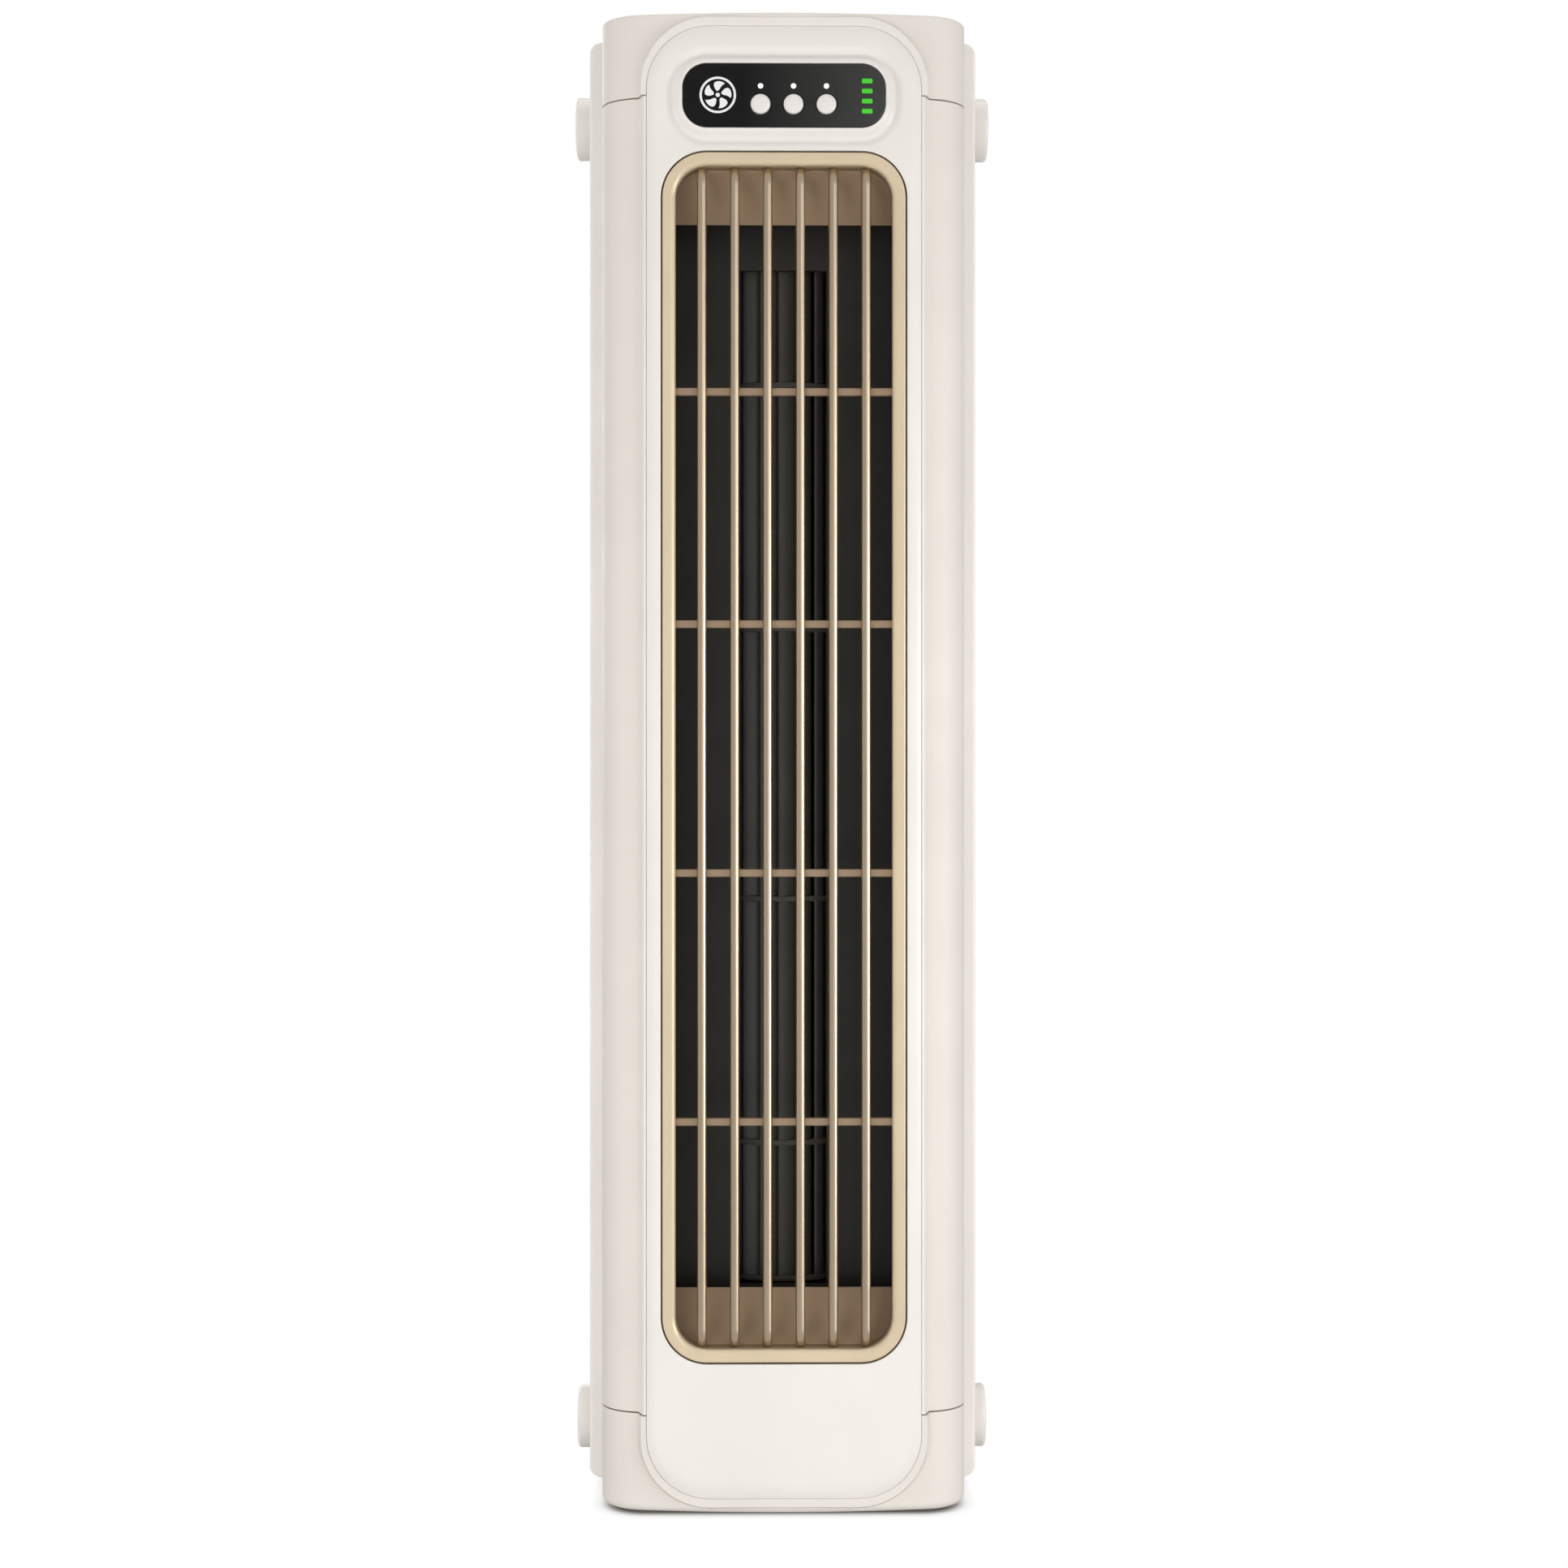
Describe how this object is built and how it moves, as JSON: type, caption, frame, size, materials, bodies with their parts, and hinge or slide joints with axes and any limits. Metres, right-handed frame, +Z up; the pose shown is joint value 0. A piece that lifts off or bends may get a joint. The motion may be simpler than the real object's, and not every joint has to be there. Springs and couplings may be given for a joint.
{
  "type": "tower fan",
  "caption": "Portable tower fan with an upright barred outlet, a cross-flow impeller, push buttons on a small panel, a folding carry handle and a folding rear stand.",
  "frame": {"origin": "on the floor under the middle of the fan's bounding box", "axes": "+X to the right as seen from the front, +Y from the front to the back, +Z up; the outlet grille faces -Y"},
  "size_m": [0.1112, 0.092, 0.38],
  "materials": {
    "shell_cream": "fine satin",
    "bezel_ivory": "satin gloss",
    "handle_cream": "satin",
    "grille_gold": "satin",
    "baffle_tan": "matte",
    "duct_black": "fine matte",
    "impeller_black": "satin",
    "filter_mesh": "matte woven mesh",
    "panel_black": "polished",
    "symbol_white": "printed",
    "light_white": "translucent",
    "light_green": "translucent",
    "button_ivory": "satin gloss",
    "screw_steel": "zinc plated",
    "shaft_steel": "ground",
    "motor_steel": "plated",
    "socket_steel": "plated",
    "bush_bronze": "sintered",
    "winding_copper": "enamelled",
    "magnet_grey": "ground",
    "dark_rubber": "matte",
    "board_green": "solder mask",
    "switch_black": "moulded",
    "cell_blue": "shrink wrap",
    "cable_grey": "flat cable"
  },
  "bodies": {
    "housing": {"front_shell": "shell_cream", "top_cap": "shell_cream", "base_cap": "shell_cream", "rear_shell": "shell_cream", "shell_screws": "screw_steel", "rubber_feet": "dark_rubber", "front_bezel": "bezel_ivory", "outlet_grille": "grille_gold", "upper_baffle": "baffle_tan", "lower_baffle": "baffle_tan", "intake_grille": "shell_cream", "dust_filter": "filter_mesh", "air_duct": "duct_black", "duct_screws": "screw_steel", "scroll_wall": "duct_black", "stabiliser": "duct_black", "top_bush": "bush_bronze", "bush_holder": "dark_rubber", "motor_stator": "winding_copper", "motor_can": "motor_steel", "motor_bearings": "shaft_steel", "motor_bracket": "motor_steel", "motor_dampers": "dark_rubber", "motor_screws": "screw_steel", "display_panel": "panel_black", "fan_symbol": "symbol_white", "indicator_lights": "light_white", "level_lights": "light_green", "control_board": "board_green", "tact_switches": "switch_black", "board_screws": "screw_steel", "battery_cells": "cell_blue", "battery_holder": "switch_black", "charge_board": "board_green", "usb_socket": "socket_steel", "ribbon_cable": "cable_grey", "pivot_washers": "dark_rubber"},
    "impeller_assembly": {"impeller": "impeller_black", "impeller_shaft": "shaft_steel", "drive_hub": "dark_rubber", "motor_shaft": "shaft_steel", "motor_rotor": "magnet_grey"},
    "power_button": {"power_button": "button_ivory"},
    "speed_button": {"speed_button": "button_ivory"},
    "timer_button": {"timer_button": "button_ivory"},
    "carry_handle": {"carry_handle": "handle_cream", "handle_knob_left": "handle_cream", "handle_knob_right": "handle_cream", "handle_screws": "screw_steel"},
    "rear_stand": {"rear_stand": "handle_cream", "stand_knob_left": "handle_cream", "stand_knob_right": "handle_cream", "stand_screws": "screw_steel"}
  },
  "joints": [
    {"name": "impeller_spin", "type": "hinge", "parent": "housing", "child": "impeller_assembly", "pos_m": [0, 0.016, 0.19], "axis": [0, 0, 1], "continuous": true},
    {"name": "power_button_press", "type": "slide", "parent": "housing", "child": "power_button", "axis": [0, 1, 0], "range_m": [0, 0.0005], "stiffness_N_per_m": 1200},
    {"name": "speed_button_press", "type": "slide", "parent": "housing", "child": "speed_button", "axis": [0, 1, 0], "range_m": [0, 0.0005], "stiffness_N_per_m": 1200},
    {"name": "timer_button_press", "type": "slide", "parent": "housing", "child": "timer_button", "axis": [0, 1, 0], "range_m": [0, 0.0005], "stiffness_N_per_m": 1200},
    {"name": "handle_swing", "type": "hinge", "parent": "housing", "child": "carry_handle", "pos_m": [0, 0.012, 0.3623], "axis": [1, 0, 0], "range_deg": [0, 150]},
    {"name": "stand_swing", "type": "hinge", "parent": "housing", "child": "rear_stand", "pos_m": [0, 0.012, 0.0129], "axis": [1, 0, 0], "range_deg": [-65, 0]}
  ]
}
